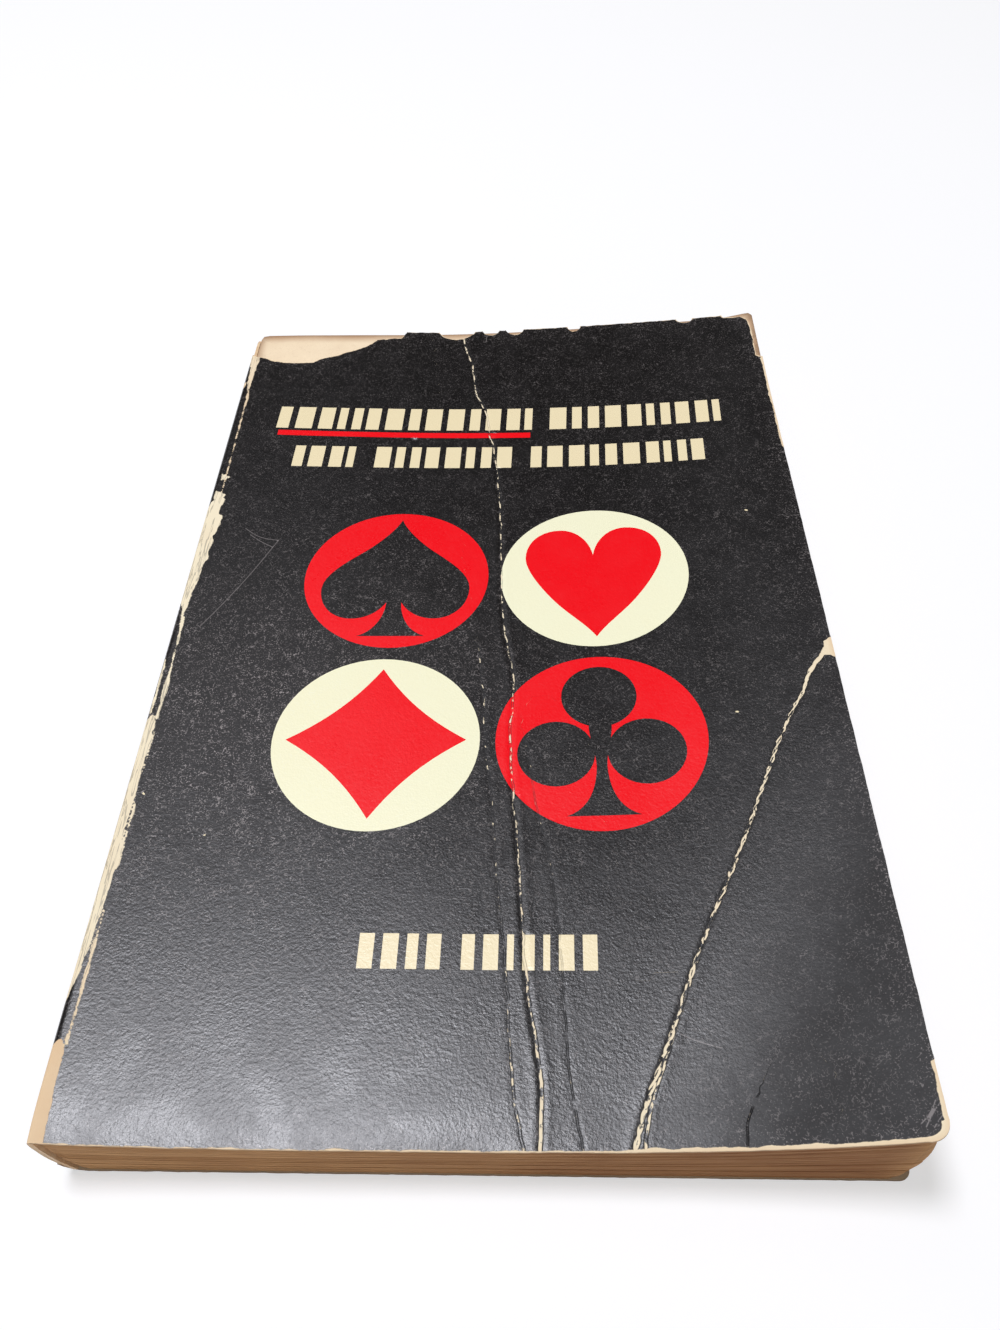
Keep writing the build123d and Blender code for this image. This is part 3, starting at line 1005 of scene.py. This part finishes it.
def worn_edge_group():
    """Mask of the ink that is gone, from how far inside a worn patch a place lies."""
    n, given, out = node_group("worn_edge", "ShaderNodeTree", {
        "Reach": "Float", "Waver": "Float", "Fray": "Float", "Stretch": "Vector"}, {"Mask": "Float"})
    where = n.vectors("MULTIPLY", n.place(), given["Stretch"])
    slow = n.swing(n.grain(where, 0.45, 2.0, 0.5), given["Waver"])
    quick = n.swing(n.grain(where, 2.0, 4.0, 0.6), given["Fray"])
    n.feed(out["Mask"], n.ramp(n.plus(n.plus(given["Reach"], slow), quick), -0.05, 0.05))
    return n.tree


def pressed_crease_group():
    """A crease in the card: torn fibres along it, painted shade as dark lines beside them, and pale flecks
    round them.
    """
    n, given, out = node_group("pressed_crease", "ShaderNodeTree", {
        "Off": "Float", "Half Width": "Float", "Loss": "Float",
        "Swing": "Float", "Period": "Float", "Phase": "Float",
    }, {"Bare": "Float", "Crease Shade": "Float", "Flecks": "Float"})
    off, half, loss, swing, period, phase = (given[i] for i in range(6))
    run = n.parts_of(n.place())["Y"]

    def along_it(pace, shift):
        return n.grain(n.point(X=n.plus(phase, shift), Y=n.times(run, pace)), 1.0, 2.0, 0.5)

    turn = n.plus(n.times(n.over(run, period), math.tau), phase)
    weave = n.times(n.maths("SINE", turn), swing)
    path = n.plus(weave, n.swing(along_it(0.35, 0.0), 0.3))
    away = n.size_of(n.minus(off, path))
    inner = n.over(away, half)
    strand = n.ramp(inner, 0.65, 1.15, 1.0, 0.0)
    flow = n.point(X=n.times(off, 1.3), Y=n.times(run, 0.6), Z=phase)
    torn = n.grain(flow, 1.0, 3.0, 0.65)
    held = n.ramp(n.minus(loss, n.ramp(torn, 0.32, 0.68)), -0.1, 0.08)
    beside = n.size_of(n.minus(away, n.times(half, 1.2)))
    # Painted shade: thin dark lines just beside the torn fibres, where the crease's groove lies in shade
    crease_shade = n.times(n.ramp(beside, 0.03, 0.11, 1.0, 0.0), n.ramp(along_it(0.5, 5.0), 0.36, 0.5))
    flecks = n.times(n.ramp(torn, 0.3, 0.4, 1.0, 0.0), n.ramp(inner, 1.0, 4.5, 1.0, 0.0))
    n.feed(out["Bare"], n.times(strand, held))
    n.feed(out["Crease Shade"], crease_shade)
    n.feed(out["Flecks"], flecks)
    return n.tree


def card_grain_group():
    """Pebbled coat of the card: a height, a slow mottle and fine pale fibres and specks."""
    n, given, out = node_group("card_grain", "ShaderNodeTree", {"Pebble": "Float"}, {
        "Height": "Float", "Mottle": "Float", "Specks": "Float"})
    where = n.place()
    pebble = n.times(n.grain(where, given["Pebble"], 3.0, 0.55), 0.4)
    fibre = n.times(n.grain(where, 6.0, 2.0, 0.5), 0.2)
    dimples = n.times(n.grain(where, 1.5, 1.0, 0.5), 0.48)
    n.feed(out["Height"], n.plus(n.plus(pebble, fibre), dimples))
    n.feed(out["Mottle"], n.ramp(n.grain(where, 0.16, 4.0, 0.65), 0.3, 0.7))
    clumps = n.ramp(n.grain(where, 0.35, 3.0, 0.6), 0.3, 0.7, 0.35, 1.0)
    threads = n.size_of(n.minus(n.grain(where, 1.5, 1.0, 0.4), 0.5))
    broken = n.ramp(n.grain(where, 1.1, 1.0, 0.5), 0.5, 0.6)
    threads = n.times(n.ramp(threads, 0.005, 0.035, 1.0, 0.0), broken)
    spots = n.ramp(n.grain(where, 4.4, 1.0, 0.5), 0.595, 0.72)
    n.feed(out["Specks"], n.times(n.larger(spots, threads), clumps))
    return n.tree


def aged_paper_group():
    """Uneven browning of old paper and card."""
    n, given, out = node_group("aged_paper", "ShaderNodeTree", {
        "Pale": "Color", "Brown": "Color", "Browning": "Float"}, {"Color": "Color"})
    where = n.place()
    cloud = n.ramp(n.grain(where, 0.09, 5.0, 0.6), 0.25, 0.8)
    fleck = n.ramp(n.grain(where, 2.6, 4.0, 0.7), 0.62, 0.8)
    share = n.plus(given["Browning"], n.times(n.minus(cloud, 0.5), 0.2))
    share = n.plus(share, n.times(fleck, 0.16), clamp=True)
    n.feed(out["Color"], n.mix(share, given["Pale"], given["Brown"]))
    return n.tree


worn_edge = worn_edge_group()
pressed_crease = pressed_crease_group()
card_grain = card_grain_group()
aged_paper = aged_paper_group()


def finish(name):
    """A new material with one main shader: the material, its nodes and the shader's sockets."""
    made = bpy.data.materials.new(name)
    made.use_nodes = True
    tree = made.node_tree
    tree.nodes.clear()
    shader = tree.nodes.new("ShaderNodeBsdfPrincipled")
    tree.links.new(shader.outputs[0], tree.nodes.new("ShaderNodeOutputMaterial").inputs[0])
    return made, Nodes(tree), shader.inputs


PALE_CARD, BROWN_CARD = ink(250, 236, 202), ink(212, 154, 92)
# How far each kind of crease swings, the period of that in mm, and how dark the painted shade beside it is
crease_ways = {"main": (0.06, 7.0, 0.9), "corner": (0.15, 3.1, 0.8), "faint": (0.05, 8.0, 0.75)}


def printed_card(name, deep, worn, speck, speck_share, shine, crease_shade_share, lines, gloss=0.5):
    """Ink on coated card, worn through to the card at its rim, along its fold and along these creases, with
    painted shade beside the creases and a painted sheen carried by the rub mark.
    """
    made, n, shader = finish(name)
    coat = n.use(card_grain, {"Pebble": 3.0})
    rim = n.use(worn_edge, {
        "Reach": n.mark("rim"), "Waver": 0.3, "Fray": 0.1, "Stretch": (1, 1, 1)})["Mask"]
    peel = n.use(worn_edge, {
        "Reach": n.mark("peel"), "Waver": 0.35, "Fray": 0.32, "Stretch": (1, 0.4, 1)})["Mask"]
    long_way = n.vectors("MULTIPLY", n.place(), (1.5, 0.1, 1.5))
    split = n.size_of(n.minus(n.grain(long_way, 1.0, 2.0, 0.6), 0.5))
    whole = n.ramp(n.mark("tone"), 0.3, 0.5, 0.6, 1.0)
    split = n.larger(n.ramp(split, 0.008, 0.03), whole)
    gone = n.larger(rim, n.times(peel, split))
    rub_and_sheen = n.mark("rub_and_sheen")
    # Specks spread wider with the rub mark, which holds real rubbing at the rim and the painted sheen
    spread = n.plus(n.times(rub_and_sheen, 3.4), 0.42)
    scuffed = n.times(spread, n.times(coat["Specks"], speck_share))
    scuffed = n.larger(scuffed, n.ramp(n.mark("pale"), 0.01, 0.1, 0.5, 0.0))
    crease_shades = []
    for label, phase in lines:
        swing, period, dark = crease_ways[label]
        pressed = n.use(pressed_crease, {
            "Off": n.mark(label), "Half Width": n.mark(label + "_width"), "Loss": n.mark(label + "_loss"),
            "Swing": swing, "Period": period, "Phase": phase})
        gone = n.larger(gone, pressed["Bare"])
        crease_shades.append(n.times(pressed["Crease Shade"], dark * crease_shade_share))
        scuffed = n.larger(scuffed, n.times(pressed["Flecks"], 0.5))
    # Ink lightens towards the worn colour with the mottle and the rub mark: real rubbing at the rim, and a
    # painted sheen over the black
    fade_and_sheen = n.plus(n.times(coat["Mottle"], 0.15), rub_and_sheen, clamp=True)
    colour = n.mix(scuffed, n.mix(fade_and_sheen, deep, worn), speck)
    dulled = gone
    # Painted shade along the creases darkens the ink to near black
    for crease_shade in crease_shades:
        colour = n.mix(crease_shade, colour, ink(6, 5, 6))
        dulled = n.larger(dulled, crease_shade)
    aged = {"Pale": PALE_CARD, "Brown": BROWN_CARD, "Browning": n.mark("tone")}
    n.feed(shader["Base Color"], n.mix(gone, colour, n.use(aged_paper, aged)["Color"]))
    rough = n.ramp(coat["Mottle"], 0.0, 1.0, shine, shine + 0.05)
    rough = n.plus(rough, n.times(n.mark("dull"), 0.3))
    n.feed(shader["Roughness"], n.plus(rough, n.times(dulled, 0.5)))
    n.bump(shader, coat["Height"], 0.00012, 0.4)
    shader["Specular IOR Level"].default_value = gloss
    return made


def bare_card(name, pale, brown, browning):
    made, n, shader = finish(name)
    aged = {"Pale": pale, "Brown": brown, "Browning": browning}
    n.feed(shader["Base Color"], n.use(aged_paper, aged)["Color"])
    coat = n.use(card_grain, {"Pebble": 1.6})
    n.feed(shader["Roughness"], n.ramp(coat["Mottle"], 0, 1, 0.75, 0.9))
    n.bump(shader, coat["Height"], 0.0001, 0.3)
    return made


def leaf_face_finish():
    """Face of the outermost leaf: soft pulp paper, browner towards its trimmed edges."""
    made, n, shader = finish("leaf_face")
    where = n.parts_of(n.place())
    sides = [n.minus(reach, n.size_of(where[axis])) for axis, reach in zip("XY", block_high)]
    browning = n.ramp(n.maths("MINIMUM", *sides), 0.0, 3.2, 0.75, 0.10)
    aged = {"Pale": ink(255, 234, 198), "Brown": ink(168, 116, 72), "Browning": browning}
    colour = n.use(aged_paper, aged)["Color"]
    coat = n.use(card_grain, {"Pebble": 2.2})
    n.feed(shader["Base Color"], n.mix(n.times(coat["Specks"], 0.25), colour, ink(196, 160, 120)))
    n.feed(shader["Roughness"], n.ramp(coat["Mottle"], 0, 1, 0.8, 0.92))
    n.bump(shader, coat["Height"], 0.00008, 0.35)
    return made


def leaf_edge_finish():
    """Trimmed edges: hundreds of leaves as fine lines that follow the bundles."""
    made, n, shader = finish("leaf_edge")
    where = n.parts_of(n.place())
    stretch = n.point(X=n.times(where["X"], 0.05), Y=n.times(where["Y"], 0.05), Z=n.mark("level"))
    lines = n.grain(stretch, 2.6, 3.0, 0.7)
    bands = n.grain(stretch, 0.3, 2.0, 0.5)
    shade = n.plus(n.ramp(lines, 0.3, 0.7, 0.0, 0.5), n.ramp(bands, 0.3, 0.7, 0.0, 0.2))
    # Browner towards the fore edge, and paler again over the last 6 mm before it
    shade = n.plus(shade, n.ramp(where["X"], fold_x, fore_x - 4, -0.05, 0.45))
    shade = n.minus(shade, n.ramp(where["X"], fore_x - 6, fore_x, 0.0, 0.5))
    aged = {"Pale": ink(212, 163, 106), "Brown": ink(142, 88, 43), "Browning": shade}
    n.feed(shader["Base Color"], n.use(aged_paper, aged)["Color"])
    n.feed(shader["Roughness"], n.ramp(bands, 0.3, 0.7, 0.8, 0.95))
    n.bump(shader, lines, 0.0001, 0.5)
    return made


def glue_finish():
    made, n, shader = finish("binding_glue")
    where = n.place()
    blot = n.ramp(n.grain(where, 0.6, 5.0, 0.7), 0.3, 0.72)
    n.feed(shader["Base Color"], n.mix(blot, ink(242, 214, 174), ink(214, 172, 122)))
    n.feed(shader["Roughness"], n.ramp(blot, 0, 1, 0.45, 0.75))
    n.bump(shader, n.grain(where, 1.8, 4.0, 0.6), 0.0002, 0.5)
    return made


def floor_finish():
    """Pale floor that stands as white paper in the picture and keeps the shadow of the book."""
    made, n, shader = finish("floor")
    shader["Base Color"].default_value = (0.93, 0.93, 0.93, 1)
    shader["Roughness"].default_value = 0.9
    shader["Specular IOR Level"].default_value = 0.0
    lit = n.add("ShaderNodeBsdfDiffuse", {"Color": (0.45, 0.45, 0.45, 1)})
    glow = n.add("ShaderNodeEmission", {"Color": (1, 1, 1, 1), "Strength": 0.58})
    paper = n.add("ShaderNodeAddShader", {0: lit[0], 1: glow[0]})
    ray = n.add("ShaderNodeLightPath")
    seen = n.larger(ray["Is Camera Ray"], n.larger(ray["Is Glossy Ray"], ray["Is Transmission Ray"]))
    end = next(node for node in n.tree.nodes if node.type == "OUTPUT_MATERIAL").inputs[0]
    plain = end.links[0].from_socket
    n.feed(end, n.add("ShaderNodeMixShader", {0: seen, 1: plain, 2: paper[0]})[0])
    return made


every_crease = (("main", 0.0), ("corner", 0.0), ("corner", math.pi), ("faint", 2.0))
middle_creases = (("main", 0.0), ("faint", 2.0))
# The lighter black serves both rubbed ink and the painted sheen
deep_black, rubbed_and_sheen_black, grey_speck = ink(12, 9, 8), ink(39, 34, 33), ink(168, 160, 156)
inside_card = bare_card("card_inside", ink(240, 226, 196), ink(196, 160, 112), 0.3)
front_finishes = [
    printed_card("cover_black", deep_black, rubbed_and_sheen_black, grey_speck, 0.7, 0.29, 1.0, every_crease),
    printed_card("cover_red", ink(252, 10, 24), ink(253, 30, 38), ink(253, 110, 105), 0.12, 0.27, 0.6,
                 middle_creases, 0.3),
    printed_card("cover_cream", ink(254, 252, 214), ink(252, 244, 200), ink(255, 255, 240), 0.2, 0.32, 0.45,
                 middle_creases),
    printed_card("cover_buff", ink(247, 231, 187), ink(242, 223, 176), ink(255, 246, 214), 0.2, 0.32, 0.45,
                 middle_creases),
    bare_card("card_rim", ink(238, 212, 172), ink(150, 106, 66), 0.35),
    inside_card,
]
back_finishes = [
    printed_card("back_black", deep_black, rubbed_and_sheen_black, grey_speck, 0.5, 0.36, 1.0, ()),
    # Painted shade: the back cover's cut edges are the same card as the front's rim, coloured far darker as
    # shade where they sit low by the floor
    bare_card("back_rim_painted_shade", ink(150, 110, 72), ink(96, 66, 42), 0.4),
    inside_card,
]
front = front_wrap(front_finishes)
back = back_wrap(back_finishes)
leaves = leaf_block(leaf_face_finish(), leaf_edge_finish())
glue = glue_film(glue_finish())

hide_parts("front_cover", "spine_cover")
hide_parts("back_cover")
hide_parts("page_block")
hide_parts("spine_glue")
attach(leaves, "block")
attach(glue, "block")
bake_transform(front)
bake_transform(back)


# Floor, light and camera
def studio():
    mesh = bpy.data.meshes.new("floor")
    mesh.from_pydata([(-3, -3, 0), (3, -3, 0), (3, 3, 0), (-3, 3, 0)], [], [(0, 1, 2, 3)])
    mesh.materials.append(floor_finish())
    floor = placed("floor", mesh)
    floor.location.z = -0.0001

    for name, place, size, power in (
        ("overhead_softbox", (-0.22, 0.08, 1.08), 0.25, 10.4), ("front_fill", (0.15, -1.0, 0.8), 1.2, 2.7),
        ("rear_fill", (-0.39, 0.6, 0.98), 0.5, 0.8),
    ):
        lamp = bpy.data.lights.new(name, "AREA")
        lamp.shape = "SQUARE"
        lamp.size = size
        lamp.energy = power
        lamp.color = (0.93, 0.935, 1.0)
        softbox = placed(name, lamp)
        softbox.location = place
        softbox.rotation_euler = (-Vector(place)).to_track_quat("-Z", "Y").to_euler()

    world = bpy.data.worlds.new("studio")
    world.use_nodes = True
    backdrop = world.node_tree.nodes["Background"]
    backdrop.inputs["Color"].default_value = (1, 1, 1, 1)
    backdrop.inputs["Strength"].default_value = 0.06
    bpy.context.scene.world = world


def photo_camera():
    """The camera that was fitted to the photograph."""
    focal_pixels, picture_height = 1052.5, 1330
    place = (0.008084, -0.116347, 0.140390)
    forward = Vector((-0.03878, 0.63556, -0.77108)).normalized()
    right = forward.cross(Vector((0.00603, 0.77179, 0.63584))).normalized()
    lens = bpy.data.cameras.new("camera")
    lens.sensor_fit = "VERTICAL"
    lens.sensor_height = 36.0
    lens.lens = lens.sensor_height * focal_pixels / picture_height
    lens.clip_start = 0.01
    camera = placed("camera", lens)
    turn = Matrix((right, right.cross(forward), -forward)).transposed().to_4x4()
    camera.matrix_world = Matrix.Translation(place) @ turn
    bpy.context.scene.camera = camera


studio()
photo_camera()
bpy.context.scene.view_settings.view_transform = "Standard"
